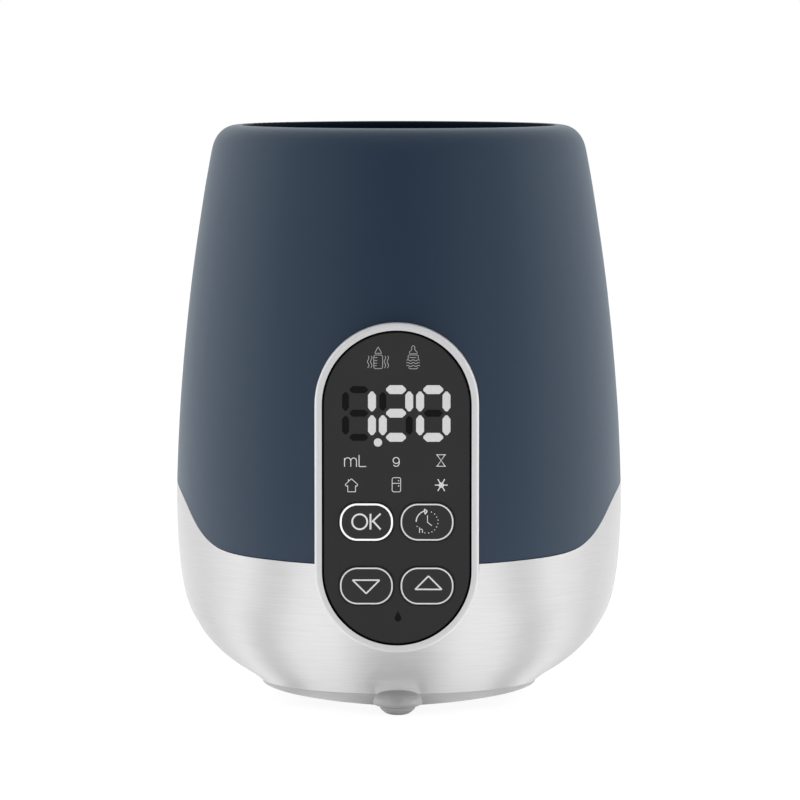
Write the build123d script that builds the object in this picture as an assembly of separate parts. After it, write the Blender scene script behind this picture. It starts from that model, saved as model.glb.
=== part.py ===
from build123d import *
import math
import os

# Bottle warmer with a control pod on its front, a lift-out basket and a coiled mains lead.
# Millimetres, +Z up, front facing -Y, so left is -X. The origin is on the floor plane,
# under the axis of the bottle well. Each function named in PIECES builds one file.

os.makedirs("parts", exist_ok=True)

# ---------------------------------------------------------------------------
# Shared dimensions (suffix _R: radius, _Z: height)
# ---------------------------------------------------------------------------
TOUCH_GAP = 0.02           # air left between parts that bear on each other
FIT_GAP = 0.05             # looser air between assembled parts

# Casing
WALL = 2.4
RIM_INNER_R = 45.0         # the top opening
COLLAR_OUTER_R = 47.2      # collar that hangs from the rim into the casing
COLLAR_BOTTOM_Z = 156.0
RIM_UNDERSIDE_Z = 166.0
PARTING_GAP = 0.3          # shadow line between the two casings
SHELL_HOLE_R = 40.5        # hole in the bottom of the lower casing

# Outer silhouette of the casing, bottom to rim: (radius, height)
SILHOUETTE = [
    (40.40, 5.90), (44.45, 8.85), (47.31, 10.62), (49.63, 12.30), (51.75, 14.00),
    (53.55, 15.70), (55.17, 17.40), (56.57, 19.03), (58.83, 22.48), (60.76, 25.92),
    (62.13, 29.30), (63.47, 35.10), (64.28, 40.93), (64.92, 49.70), (65.16, 58.50),
    (64.98, 69.10), (64.34, 83.20), (63.34, 97.20), (62.02, 111.30), (60.40, 125.30),
    (58.41, 139.40), (56.18, 153.40), (54.93, 160.20), (54.38, 162.60), (53.84, 164.05),
    (53.20, 165.20), (52.42, 166.20), (51.50, 167.05), (50.40, 167.75), (49.15, 168.23),
    (47.60, 168.50),
]
INNER_WALL_TOP_Z = 164.1   # the inner wall curve follows the silhouette up to here

# Parting line, low at the front and climbing to the sides: (y, height)
PARTING_LINE = [
    (-85.0, 45.40), (-70.0, 45.40), (-63.0, 45.55), (-57.0, 45.90), (-52.6, 46.22),
    (-48.3, 46.52), (-44.6, 46.95), (-41.0, 47.62), (-38.6, 48.32), (-36.0, 49.45),
    (-33.2, 50.99), (-30.0, 53.13), (-26.3, 55.96), (-21.5, 59.40), (-14.4, 62.60),
    (-6.8, 64.15), (0.0, 64.80), (12.0, 65.40), (30.0, 65.80), (55.0, 66.00), (85.0, 66.00),
]

# Control pod: upright stadium standing proud of the front
POD_Z = 67.55              # height of its centre
POD_W = 46.4
POD_H = 93.3
POD_FRONT = -66.0          # front plane of the bezel
POD_BACK = -51.5           # back of the bezel tube

# Well
TANK_INNER_R = 44.8
TANK_OUTER_R = 47.0
TANK_FLOOR_Z = 44.0
TANK_FLOOR_T = 2.4
TANK_TOP_Z = 155.0
FLANGE_Z = 152.6           # underside of the flange round the top of the tank

# Circles of screws, legs and feet
DIAGONALS = (45, 135, 225, 315)
TANK_SCREW_R = 50.2
CLAMP_SCREW_R = 24.8
LEG_R = 34.2               # tank legs and base screws
LEG_ANGLES = (90, 210, 330)
BOARD_SCREW_R = 25.0       # on the leg angles
FEET = {"foot_front": 270, "foot_rear_left": 150, "foot_rear_right": 30}
FOOT_R = {270: 39.2, 150: 36.75, 30: 36.75}   # the front foot stands further out
FOOT_COLLAR_R = 36.75      # hidden collars that hold the feet
FOOT_PEG_R = 32.6          # the peg sits inboard of the foot, clear of the base rim
FOOT_BOSS_INSET = 1.2      # the boss over each foot stands this much further in

# Power board
BOARD_R = 30.5
BOARD_Z = 13.0
BOARD_TOP_Z = BOARD_Z + 1.6

GROMMET_Z = 24.0           # where the mains lead leaves the casing


# ---------------------------------------------------------------------------
# Helpers
# ---------------------------------------------------------------------------
def turned(points, angle=360):
    """Solid of revolution about Z from a closed polygon of (radius, height)."""
    face = Face(Wire.make_polygon([Vector(x, 0, z) for x, z in points], close=True))
    return Part() + Solid.revolve(face, angle, Axis.Z)


def ring(inner, outer, bottom, top):
    """Plain ring about Z, of rectangular section."""
    return turned([(inner, bottom), (outer, bottom), (outer, top), (inner, top)])


def rod(x, y, bottom, top, radius):
    """Upright cylinder."""
    align = (Align.CENTER, Align.CENTER, Align.MIN)
    return Pos(x, y, bottom) * Cylinder(radius, top - bottom, align=align)


def rod_y(x, z, front, back, radius):
    """Cylinder lying along Y."""
    align = (Align.CENTER, Align.CENTER, Align.MIN)
    return Pos(x, front, z) * Rot(-90, 0, 0) * Cylinder(radius, back - front, align=align)


def block(x0, x1, y0, y1, z0, z1):
    """Box between two limits on each axis."""
    middle = Pos((x0 + x1) / 2, (y0 + y1) / 2, (z0 + z1) / 2)
    return middle * Box(x1 - x0, y1 - y0, z1 - z0)


def prism_y(x, z, sketch, front, back):
    """Sketch centred at (x, z), its local y upright, extruded from front to back."""
    plane = Plane(origin=(0, front, 0), x_dir=(1, 0, 0), z_dir=(0, -1, 0))
    return extrude(plane * Pos(x, z) * sketch, amount=-(back - front))


def poly_y(points, front, back):
    """Prism along Y of a closed polygon of (x, z)."""
    face = Face(Wire.make_polygon([Vector(x, front, z) for x, z in points], close=True))
    return Part() + Solid.extrude(face, Vector(0, back - front, 0))


def pod_slot(width, front, back):
    """Upright stadium prism concentric with the pod outline."""
    height = width + POD_H - POD_W
    return prism_y(0, POD_Z, SlotOverall(height, width, rotation=90), front, back)


def polar(radius, degrees):
    angle = math.radians(degrees)
    return radius * math.cos(angle), radius * math.sin(angle)


def rods_on_circle(circle_r, angles, bottom, top, radius):
    return [rod(*polar(circle_r, angle), bottom, top, radius) for angle in angles]


def union(shapes):
    result = shapes[0]
    for shape in shapes[1:]:
        result = result + shape
    return result


def cut_each(body, cutters):
    for cutter in cutters:
        body = body - cutter
    return body


def offset_curve(points, distance):
    """Points moved inwards along the local normal of the curve."""
    moved = []
    for i, (radius, z) in enumerate(points):
        before = points[max(i - 1, 0)]
        after = points[min(i + 1, len(points) - 1)]
        run, rise = after[0] - before[0], after[1] - before[1]
        length = math.hypot(run, rise)
        moved.append((radius - distance * rise / length, z + distance * run / length))
    return moved


def spline_xz(points):
    return Edge.make_spline([Vector(x, 0, z) for x, z in points])


def lines_xz(points):
    """Straight edges joining successive (x, z) points."""
    return [Edge.make_line(Vector(x0, 0, z0), Vector(x1, 0, z1))
            for (x0, z0), (x1, z1) in zip(points, points[1:])]


def revolved_edges(edges):
    return Part() + Solid.revolve(Face(Wire(edges)), 360, Axis.Z)


def round_sweep(edges, radius):
    """Round wire along a chain of edges."""
    start = Plane(origin=edges[0] @ 0, z_dir=edges[0] % 0)
    return sweep(start * Circle(radius), path=Wire(edges))


def screw(head_r, head_h, shank_r, length):
    """Pan-head screw, head underside at z=0, shank along +Z, cross recess in the head."""
    body = turned([
        (0, -head_h), (head_r * 0.7, -head_h), (head_r, -head_h * 0.5), (head_r, 0),
        (shank_r, 0), (shank_r, length - 0.8), (0.3, length), (0, length),
    ])
    recess_length, recess_w = head_r * 1.1, 0.4
    body = body - Pos(0, 0, -head_h) * Box(recess_length, recess_w, head_h * 0.9)
    return body - Pos(0, 0, -head_h) * Box(recess_w, recess_length, head_h * 0.9)


def screw_set(places, head_r, head_h, shank_r, length):
    return Compound([(place * screw(head_r, head_h, shank_r, length)).solid()
                     for place in places])


def circle_places(circle_r, angles, z):
    return [Pos(*polar(circle_r, angle), z) for angle in angles]


# ---------------------------------------------------------------------------
# Casing: one revolved wall, parted along a swept line
# ---------------------------------------------------------------------------
def casing_wall():
    inner = [moved for moved, (_, z) in zip(offset_curve(SILHOUETTE, WALL), SILHOUETTE)
             if z <= INNER_WALL_TOP_Z]
    rim_z = SILHOUETTE[-1][1]
    arc_start, arc_end = (46.4, rim_z), (RIM_INNER_R, rim_z - 1.4)
    rim_arc = Edge.make_three_point_arc(
        Vector(arc_start[0], 0, arc_start[1]),
        Vector(45.41, 0, rim_z - 0.41),
        Vector(arc_end[0], 0, arc_end[1]),
    )
    collar = [
        arc_end, (RIM_INNER_R, COLLAR_BOTTOM_Z), (COLLAR_OUTER_R, COLLAR_BOTTOM_Z),
        (COLLAR_OUTER_R, RIM_UNDERSIDE_Z), (50.0, RIM_UNDERSIDE_Z), inner[-1],
    ]
    return revolved_edges([
        spline_xz(SILHOUETTE),
        *lines_xz([SILHOUETTE[-1], arc_start]),
        rim_arc,
        *lines_xz(collar),
        spline_xz(inner),
        *lines_xz([inner[0], SILHOUETTE[0]]),
    ])


def below_parting(shift):
    """Everything under the parting line, moved up by shift."""
    half_width, bottom = 90, -20
    line = [Vector(0, y, z + shift) for y, z in PARTING_LINE]
    front_corner = Vector(0, PARTING_LINE[0][0], bottom)
    back_corner = Vector(0, PARTING_LINE[-1][0], bottom)
    face = Face(Wire([
        Edge.make_spline(line),
        Edge.make_line(line[-1], back_corner),
        Edge.make_line(back_corner, front_corner),
        Edge.make_line(front_corner, line[0]),
    ]))
    region = Part() + Solid.extrude(face, Vector(2 * half_width, 0, 0))
    return Pos(-half_width, 0, 0) * region


def pod_opening(margin):
    """Cutter for the pod, wider than it by margin overall."""
    return pod_slot(POD_W + margin, -80, -30)


def upper_shell():
    """Upper casing with its rim, inner collar and four screw bosses."""
    shell = (casing_wall() - below_parting(PARTING_GAP / 2)) - pod_opening(0.2)
    boss_top_z = 167.0
    # keeps the bosses inside the rounded shoulder
    boss_limit = turned([
        (0, 150), (53.2, 150), (53.2, 163.4), (52.3, 165.1), (51.0, 166.3),
        (49.5, boss_top_z), (0, boss_top_z),
    ])
    bosses = rods_on_circle(TANK_SCREW_R, DIAGONALS, TANK_TOP_Z + FIT_GAP, boss_top_z, 2.4)
    for boss in bosses:
        shell = shell + (boss & boss_limit)
    return cut_each(shell, rods_on_circle(TANK_SCREW_R, DIAGONALS, 150.0, 163.5, 1.15))


def lower_shell():
    shell = (casing_wall() & below_parting(-PARTING_GAP / 2)) - pod_opening(0.2)
    shell = shell - rod(0, 0, -5, 14.0, SHELL_HOLE_R)
    shell = cut_each(shell, [foot_boss(angle, 0.12) for angle in FOOT_R])
    return shell - rod_y(0, GROMMET_Z, 40, 75, 5.5)


def shell_join_band():
    """Inner band behind the parting line."""
    outer, inner = (
        [(radius, z) for radius, z in offset_curve(SILHOUETTE, depth) if 30 < z < 90]
        for depth in (WALL + 0.06, WALL + 1.3)
    )
    band = revolved_edges([
        spline_xz(outer),
        *lines_xz([outer[-1], inner[-1]]),
        spline_xz(inner[::-1]),
        *lines_xz([inner[0], outer[0]]),
    ])
    reach = 3.5            # above and below the parting line
    band = (band & below_parting(reach)) - below_parting(-reach)
    return band - pod_opening(2.0)


# ---------------------------------------------------------------------------
# Feet and base plate. "grow" swells a shape, to cut its own clearance.
# ---------------------------------------------------------------------------
def foot_solid(angle, grow=0.0):
    """Rounded bulb with a flat tread and a necked stem, and a hidden collar behind it."""
    bulb = turned([
        (0, -grow), (2.2, -grow), (3.2, 0.28 - grow), (4.0, 0.8 - grow),
        (4.65 + grow * 0.7, 1.35 - grow * 0.7), (5.05 + grow, 1.85), (5.1 + grow, 2.15),
        (4.85 + grow, 2.38), (4.6 + grow, 2.55), (4.6 + grow, 4.5),
        (4.1 + grow * 0.7, 5.0 + grow), (0, 5.0 + grow),
    ])
    collar = turned([
        (0, 3.6 - grow), (5.65 + grow, 3.6 - grow), (6.05 + grow, 4.5), (6.75 + grow, 5.6),
        (7.2 + grow, 6.2), (7.2 + grow, 6.6), (6.7 + grow, 7.2 + grow), (5.6, 7.65 + grow),
        (0, 7.7 + grow),
    ])
    placed_collar = Pos(*polar(FOOT_COLLAR_R, angle), 0) * collar
    held = placed_collar & rod(0, 0, 0, 12, 36.2 + grow)
    return (Pos(*polar(FOOT_R[angle], angle), 0) * bulb) + held


def foot_boss(angle, grow=0.0):
    """Domed boss of the base plate over a foot, breaking through the casing's lower edge."""
    dome = turned([
        (0, 2.4 - grow), (6.1, 2.4 - grow), (6.8 + grow * 0.7, 2.7 - grow * 0.7),
        (7.1 + grow, 3.3), (7.1 + grow, 3.9), (6.9 + grow, 4.8), (6.4 + grow, 5.7),
        (5.5 + grow * 0.8, 6.5 + grow * 0.6), (4.2 + grow * 0.5, 7.1 + grow * 0.9),
        (2.4, 7.5 + grow), (0, 7.6 + grow),
    ])
    return Pos(*polar(FOOT_R[angle] - FOOT_BOSS_INSET, angle), 0) * dome


def foot(angle):
    x, y = polar(FOOT_PEG_R, angle)
    body = foot_solid(angle) + rod(x, y, 6.0, 10.2, 2.2)
    # mushroom head that holds the peg above its socket
    head = turned([(0, 0), (2.9, 0), (2.9, 0.4), (1.8, 1.6), (0, 1.6)])
    return body + (Pos(x, y, 9.5) * head)


def base_vents():
    """Radial slots every 10 degrees, left out near the feet and the legs."""
    def clear_of(angle, others, margin):
        return min(abs((angle - other + 180) % 360 - 180) for other in others) >= margin

    return union([
        Rot(0, 0, angle) * Pos(27.8, 0, 0) * extrude(SlotOverall(6.5, 2.0), amount=8)
        for angle in range(0, 360, 10)
        if clear_of(angle, FOOT_R, 25) and clear_of(angle, LEG_ANGLES, 12)
    ])


def base_plate():
    """Plate with rim, raised pad, vents, foot sockets, screw pads and standoffs."""
    underside_z, rim_r = 2.9, 40.2
    rim_edge = [(33.5, underside_z), (35.3, 3.1), (36.8, 3.6), (38.2, 4.4), (39.3, 5.2),
                (rim_r, 5.95)]
    base = turned([(0, underside_z)] + rim_edge + [
        (rim_r, 11.8), (43.4, 11.8), (43.4, 13.2), (37.8, 13.2), (37.8, 8.4), (36.2, 6.3),
        (33.5, 4.6), (0, 4.6),
    ])
    base = base + rod(0, 0, 1.0, 3.6, 23.0)

    # outlines that trim what is added near the rim; the front one reaches lower
    rim_limit = turned([(0, underside_z)] + rim_edge + [(rim_r, 12), (0, 12)])
    front_limit = turned([
        (0, 1.9), (36.5, 1.9), (37.9, 2.3), (38.9, 3.0), (39.7, 4.1), (40.1, 5.2),
        (rim_r, 5.95), (rim_r, 12), (0, 12),
    ])
    # the underside and the rim swell down towards the front foot
    swell = turned([(0, 2.3), (5.0, 2.35), (64.0, 5.95), (64.0, 6.0), (0, 6.0)])
    placed_swell = Pos(*polar(FOOT_R[270], 270), 0) * swell
    base = base + ((placed_swell & front_limit) - rod(0, 0, 4.2, 7.0, 35.8))

    for angle in FOOT_R:
        socket_pad = rod(*polar(FOOT_COLLAR_R, angle), 3.0, 9.4, 8.8)
        limit = front_limit if angle == 270 else rim_limit
        base = base + (socket_pad & limit) + foot_boss(angle)
    for angle in LEG_ANGLES:
        base = base + (rod(*polar(LEG_R, angle), 3.0, 8.0, 4.2) & rim_limit)
        base = base + rod(*polar(BOARD_SCREW_R, angle), 4.0, BOARD_Z, 3.0)

    for angle in FOOT_R:
        base = base - foot_solid(angle, 0.05)
        base = base - rod(*polar(FOOT_PEG_R, angle), 7.0, 12.0, 2.25)
    for angle in LEG_ANGLES:
        x, y = polar(LEG_R, angle)
        base = base - rod(x, y, 0, 5.0, 2.8) - rod(x, y, 0, 9.0, 1.55)
        base = base - rod(*polar(BOARD_SCREW_R, angle), 6.0, BOARD_Z + 1, 1.15)
    return base - base_vents()


# ---------------------------------------------------------------------------
# Well: tank, floor with legs, gasket, screws
# ---------------------------------------------------------------------------
def tank():
    flange_r = 52.6
    wall_bottom = TANK_FLOOR_Z + 1.25
    body = turned([
        (TANK_INNER_R, wall_bottom), (TANK_OUTER_R, wall_bottom), (TANK_OUTER_R, FLANGE_Z),
        (flange_r, FLANGE_Z), (flange_r, TANK_TOP_Z), (TANK_INNER_R, TANK_TOP_Z),
    ])
    body = cut_each(body, rods_on_circle(TANK_SCREW_R, DIAGONALS, 150.0, 157.0, 1.3))
    # level marks: three shallow steps on the well wall
    return cut_each(body, [ring(TANK_INNER_R - 0.5, TANK_INNER_R + 0.35, z, z + 0.8)
                           for z in (80.0, 105.0, 130.0)])


def tank_floor():
    """Floor ring with the three legs."""
    hole_r = 27.4
    lip_r = TANK_INNER_R - FIT_GAP
    floor_top = TANK_FLOOR_Z + TANK_FLOOR_T
    body = turned([
        (hole_r, TANK_FLOOR_Z), (TANK_OUTER_R - 1.2, TANK_FLOOR_Z),
        (TANK_OUTER_R, TANK_FLOOR_Z + 1.2), (lip_r, TANK_FLOOR_Z + 1.2),
        (lip_r, floor_top + 2.0), (TANK_INNER_R - 2.0, floor_top), (hole_r, floor_top),
    ])
    legs = rods_on_circle(LEG_R, LEG_ANGLES, 8.05, TANK_FLOOR_Z + 0.5, 3.2)
    body = union([body] + legs)
    return cut_each(body, rods_on_circle(LEG_R, LEG_ANGLES, 5.0, 21.0, 1.3))


def tank_gasket():
    return ring(RIM_INNER_R + 0.1, COLLAR_OUTER_R - 0.1,
                TANK_TOP_Z + FIT_GAP, COLLAR_BOTTOM_Z - FIT_GAP)


def tank_screws():
    places = circle_places(TANK_SCREW_R, DIAGONALS, FLANGE_Z - FIT_GAP)
    return screw_set(places, head_r=2.1, head_h=1.5, shank_r=1.1, length=10.0)


def base_screws():
    places = circle_places(LEG_R, LEG_ANGLES, 5.0 - FIT_GAP)
    return screw_set(places, head_r=2.6, head_h=1.6, shank_r=1.25, length=13.0)


# ---------------------------------------------------------------------------
# Heater under the well
# ---------------------------------------------------------------------------
PLATE_Z = 43.0                     # underside of the heater plate
CLAMP_Z = 41.0                     # underside of its clamp ring
UNDER_PLATE_Z = PLATE_Z - TOUCH_GAP  # top of what is pressed against the plate
ELEMENT_R = 18.0                   # circle of the tube's centre line
TUBE_R = 3.0
ELEMENT_Z = UNDER_PLATE_Z - TUBE_R
ELEMENT_ENDS = (75, 15)            # start and finish, with a gap centred on 45 degrees


def heater_plate():
    plate = turned([(0, PLATE_Z), (27.0, PLATE_Z), (27.0, 46.9), (30.6, 46.9), (30.6, 47.7),
                    (30.2, 48.1), (0, 48.1)])
    return cut_each(plate, rods_on_circle(CLAMP_SCREW_R, DIAGONALS, 42.0, 46.0, 1.1))


def plate_seal():
    return ring(27.5, 30.4, TANK_FLOOR_Z + TANK_FLOOR_T, 46.9 - TOUCH_GAP)


def plate_clamp_ring():
    top_z = TANK_FLOOR_Z - FIT_GAP
    clamp = turned([(22.5, CLAMP_Z), (30.0, CLAMP_Z), (30.0, top_z), (27.1, top_z),
                    (27.1, PLATE_Z), (22.5, PLATE_Z)])
    return cut_each(clamp, rods_on_circle(CLAMP_SCREW_R, DIAGONALS, 40.0, 45.0, 1.3))


def clamp_screws():
    places = circle_places(CLAMP_SCREW_R, DIAGONALS, CLAMP_Z - TOUCH_GAP)
    return screw_set(places, head_r=2.1, head_h=1.5, shank_r=1.05, length=4.6)


def heating_element():
    """Open ring of tube with two ends turned down, each with a thin terminal."""
    section = Plane(origin=(ELEMENT_R, 0, ELEMENT_Z), x_dir=(1, 0, 0), z_dir=(0, -1, 0))
    tube = Part() + Solid.revolve(Face(Wire.make_circle(TUBE_R, section)), 300, Axis.Z)
    element = Rot(0, 0, ELEMENT_ENDS[0]) * tube
    for angle in ELEMENT_ENDS:
        x, y = polar(ELEMENT_R, angle)
        element = (element + (Pos(x, y, ELEMENT_Z) * Sphere(TUBE_R))
                   + rod(x, y, 33.0, ELEMENT_Z, TUBE_R) + rod(x, y, 29.0, 34.0, 1.2))
    return element


def ntc_sensor():
    y = -7.0
    return (rod(0, y, 36.0, UNDER_PLATE_Z, 3.0)
            + rod(-0.9, y, 32.0, 36.5, 0.5) + rod(0.9, y, 32.0, 36.5, 0.5))


def thermostat():
    y = 7.5
    return (rod(0, y, 38.4, UNDER_PLATE_Z, 6.5) + rod(0, y, 35.0, 38.6, 4.4)
            + block(-3.2, -2.6, y - 2, y + 2, 31.0, 35.5)
            + block(2.6, 3.2, y - 2, y + 2, 31.0, 35.5))


def thermal_fuse():
    x, z = -10.0, 40.9
    return rod_y(x, z, -7.5, 1.5, 2.0) + rod_y(x, z, -10.5, 4.5, 0.5)


# ---------------------------------------------------------------------------
# Power board and what stands on it
# ---------------------------------------------------------------------------
TERMINAL_X = (8.5, 16.5)           # the two wire entries of the terminal block
TERMINAL_Y = 15.0


def power_pcb():
    board = rod(0, 0, BOARD_Z, BOARD_TOP_Z, BOARD_R)
    holes = rods_on_circle(BOARD_SCREW_R, LEG_ANGLES, BOARD_Z - 1, BOARD_TOP_Z + 1, 1.3)
    return cut_each(board, holes)


def pcb_screws():
    places = [place * Rot(180, 0, 0) for place in
              circle_places(BOARD_SCREW_R, LEG_ANGLES, BOARD_TOP_Z + TOUCH_GAP)]
    return screw_set(places, head_r=2.3, head_h=1.5, shank_r=1.1, length=8.0)


def transformer():
    foot_block = block(1.5, 18.5, -17.0, 3.0, BOARD_TOP_Z, BOARD_TOP_Z + 3)
    core = block(3.0, 17.0, -17.0, 3.0, BOARD_TOP_Z + 2.5, BOARD_TOP_Z + 13.5)
    winding = block(0.8, 19.2, -13.0, -1.0, BOARD_TOP_Z + 3, BOARD_TOP_Z + 11.5)
    return foot_block + core + winding


def relay():
    body = block(-17.5, -0.5, -17.0, -2.5, BOARD_TOP_Z, BOARD_TOP_Z + 14.5)
    return fillet(body.edges().group_by(Axis.Z)[-1], 0.8)


def capacitor():
    """Upright can with a shallow cross in its top."""
    x, y, top = -14.0, 12.0, BOARD_TOP_Z + 13.0
    can = fillet(rod(x, y, BOARD_TOP_Z, top, 4.6).edges().group_by(Axis.Z)[-1], 0.6)
    return can - (Pos(x, y, top) * Box(5.0, 0.4, 0.8)) - (Pos(x, y, top) * Box(0.4, 5.0, 0.8))


def terminal_block():
    """Block with an upright screw hole and a wire entry from the back at each terminal."""
    body = block(4.5, 20.5, 12.0, 21.0, BOARD_TOP_Z, BOARD_TOP_Z + 10.0)
    for x in TERMINAL_X:
        body = body - rod(x, TERMINAL_Y, BOARD_TOP_Z + 5.0, BOARD_TOP_Z + 11.0, 1.6)
        body = body - rod_y(x, BOARD_TOP_Z + 3.4, 17.0, 22.0, 1.9)
    return body


def heater_leads():
    """Two leads from the element's ends down to the terminal block."""
    x75, y75, x15, y15 = *polar(ELEMENT_R, 75), *polar(ELEMENT_R, 15)
    near_x, far_x = TERMINAL_X
    routes = [
        [(x15, y15, 28.7), (x15 + 0.1, y15 + 0.6, 27.6), (16.9, 13.0, 26.2),
         (far_x, TERMINAL_Y, 23.8), (far_x, TERMINAL_Y, 20.2)],
        [(x75, y75, 28.7), (x75 + 0.3, y75 - 0.2, 27.6), (7.9, 15.5, 26.3),
         (near_x, TERMINAL_Y, 23.8), (near_x, TERMINAL_Y, 20.2)],
    ]
    return Compound([
        round_sweep([Edge.make_spline([Vector(*point) for point in route])], 1.0).solid()
        for route in routes
    ])


# ---------------------------------------------------------------------------
# Control pod. Depths are y values; a name ending in _FRONT is the face nearest the front.
# ---------------------------------------------------------------------------
RING_W = 2.05                      # width of the visible bezel ring
RING_INNER_W = POD_W - 2 * RING_W
LENS_GAP = 0.5                     # shadow gap round the panel lens
LENS_FRONT = -65.7
LENS_BACK = -63.9
PCB_FRONT = -57.6
PCB_BACK = -56.0
CHASSIS_FRONT = -53.3
BOSSES = [(-18.2, 48.9), (18.2, 48.9), (-18.2, 70.6), (18.2, 70.6), (0.0, 107.2)]  # (x, z)

# Keys
KEY_W = 15.5
KEY_H = 11.0
KEY_CORNER_R = 4.95
KEY_GAP = 0.12                     # clearance round each cap
KEY_X = 8.56
KEY_TOP_Z = 58.0
KEY_LOW_Z = 39.9
KEYS = {                           # centre (x, z)
    "ok_key": (-KEY_X, KEY_TOP_Z),
    "timer_key": (KEY_X, KEY_TOP_Z),
    "down_key": (-KEY_X, KEY_LOW_Z),
    "up_key": (KEY_X, KEY_LOW_Z),
}

# Display: three digits of seven bars, and one dot
DIGIT_X = (-10.7, -0.2, 10.3)
LIT_BARS = ("bc", "abged", "abcdef")
BAR_DX = 3.72                      # digit centre to its upright bars
TOP_BAR_Z, MID_BAR_Z, LOW_BAR_Z = 95.44, 88.78, 81.97
HIGH_Z, LOW_Z = (TOP_BAR_Z + MID_BAR_Z) / 2, (MID_BAR_Z + LOW_BAR_Z) / 2
BARS = {                           # (x from digit centre, z, upright)
    "a": (0, TOP_BAR_Z, False), "b": (BAR_DX, HIGH_Z, True), "c": (BAR_DX, LOW_Z, True),
    "d": (0, LOW_BAR_Z, False), "e": (-BAR_DX, LOW_Z, True), "f": (-BAR_DX, HIGH_Z, True),
    "g": (0, MID_BAR_Z, False),
}
BAR_SIZES = {                      # (lit, upright): (length, width, length of each taper)
    (True, True): (5.65, 2.3, 1.05), (True, False): (5.65, 2.55, 1.05),
    (False, True): (5.2, 1.95, 0.85), (False, False): (5.1, 2.0, 0.85),
}
DOT_X, DOT_Z, DOT_R = -5.3, 80.5, 1.2

# Drop-shaped window: (x from DROP_X, z)
DROP_X = 0.35
DROP = [
    (0.0, 32.8), (0.3, 32.1), (0.68, 31.45), (0.95, 30.85), (0.88, 30.25), (0.5, 29.85),
    (0.0, 29.73), (-0.5, 29.85), (-0.88, 30.25), (-0.95, 30.85), (-0.68, 31.45), (-0.3, 32.1),
]


def boss_web(x, z, half, front, back):
    """Web between a screw boss and the nearest wall of the pod."""
    if x == 0:
        return block(-half, half, front, back, z, 112.5)
    wall_x = math.copysign(22, x)
    return block(min(x, wall_x), max(x, wall_x), front, back, z - half, z + half)


def bezel_ring():
    bezel = pod_slot(POD_W, POD_FRONT, POD_BACK)
    bezel = fillet(bezel.faces().sort_by(Axis.Y)[0].edges(), 0.85)
    bezel = bezel - pod_slot(RING_INNER_W, POD_FRONT - 1, LENS_BACK + FIT_GAP)
    bezel = bezel - pod_slot(39.2, -64.5, -60.0)
    bezel = bezel - pod_slot(42.4, -62.65, POD_BACK + 1)
    front, back = -62.7, CHASSIS_FRONT - FIT_GAP
    for x, z in BOSSES:
        bezel = bezel + rod_y(x, z, front, back, 2.5) + boss_web(x, z, 2.0, front, back)
    bezel = cut_each(bezel, [rod_y(x, z, -61.5, -50.0, 1.15) for x, z in BOSSES])
    # snap lugs behind the casing wall
    for side in (-1, 1):
        for z in (57.5, 82.5):
            near, far = side * 22.5, side * 24.3
            outline = [(near, z - 3), (far, z - 3), (far, z + 3), (near, z + 3)]
            bezel = bezel + poly_y(outline, -56.2, -54.4)
    return bezel


def key_prism(x, z, grow, front, back):
    """Key outline, enlarged by grow on every side."""
    outline = RectangleRounded(KEY_W + 2 * grow, KEY_H + 2 * grow, KEY_CORNER_R + grow)
    return prism_y(x, z, outline, front, back)


def display_bar(x, z, length, width, taper, upright, front, back):
    """Flat bar tapered to blunt points, upright or lying."""
    half_l, half_w, tip = length / 2, width / 2, 0.3
    shoulder = half_l - taper
    points = [
        (-half_l, -tip), (-half_l, tip), (-shoulder, half_w), (shoulder, half_w),
        (half_l, tip), (half_l, -tip), (shoulder, -half_w), (-shoulder, -half_w),
    ]
    if upright:
        points = [(across, along) for along, across in points]
    return poly_y([(x + dx, z + dz) for dx, dz in points], front, back)


def digits(front, back, shrink, states=(True, False)):
    """Bars whose lit state is in states, and the dot, which is lit."""
    shapes = []
    for digit_x, lit_bars in zip(DIGIT_X, LIT_BARS):
        for bar, (dx, z, upright) in BARS.items():
            lit = bar in lit_bars
            if lit not in states:
                continue
            length, width, taper = BAR_SIZES[lit, upright]
            shapes.append(display_bar(digit_x + dx, z, length - 2 * shrink,
                                      width - 2 * shrink, taper, upright, front, back))
    if True in states:
        shapes.append(rod_y(DOT_X, DOT_Z, front, back, DOT_R - shrink))
    return shapes


def panel_lens():
    lens = pod_slot(RING_INNER_W - 2 * LENS_GAP, LENS_FRONT, LENS_BACK)
    lens = fillet(lens.faces().sort_by(Axis.Y)[0].edges(), 0.35)
    lens = lens - union([key_prism(x, z, KEY_GAP, LENS_FRONT - 2, LENS_BACK + 1)
                         for x, z in KEYS.values()])
    lens = lens - union(digits(LENS_FRONT - 1, LENS_BACK + 1, 0.0))
    drop = [(x + DROP_X, z) for x, z in DROP]
    return lens - poly_y(drop, LENS_FRONT - 1, LENS_BACK + 1)


def lit_segments():
    bars = digits(LENS_FRONT + 0.02, LENS_BACK, 0.03, states=(True,))
    return Compound([bar.solid() for bar in bars])


def unlit_segments():
    bars = digits(LENS_FRONT + 0.10, LENS_BACK, 0.03, states=(False,))
    return Compound([bar.solid() for bar in bars])


def water_light():
    """Drop-shaped window, slightly smaller than its hole, on a round stem."""
    drop = [(DROP_X + x * 0.95, 31.0 + (z - 31.0) * 0.96) for x, z in DROP]
    return (poly_y(drop, LENS_FRONT + 0.08, LENS_BACK + 0.2)
            + rod_y(DROP_X, 30.9, LENS_BACK, PCB_FRONT - TOUCH_GAP, 1.5))


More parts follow.
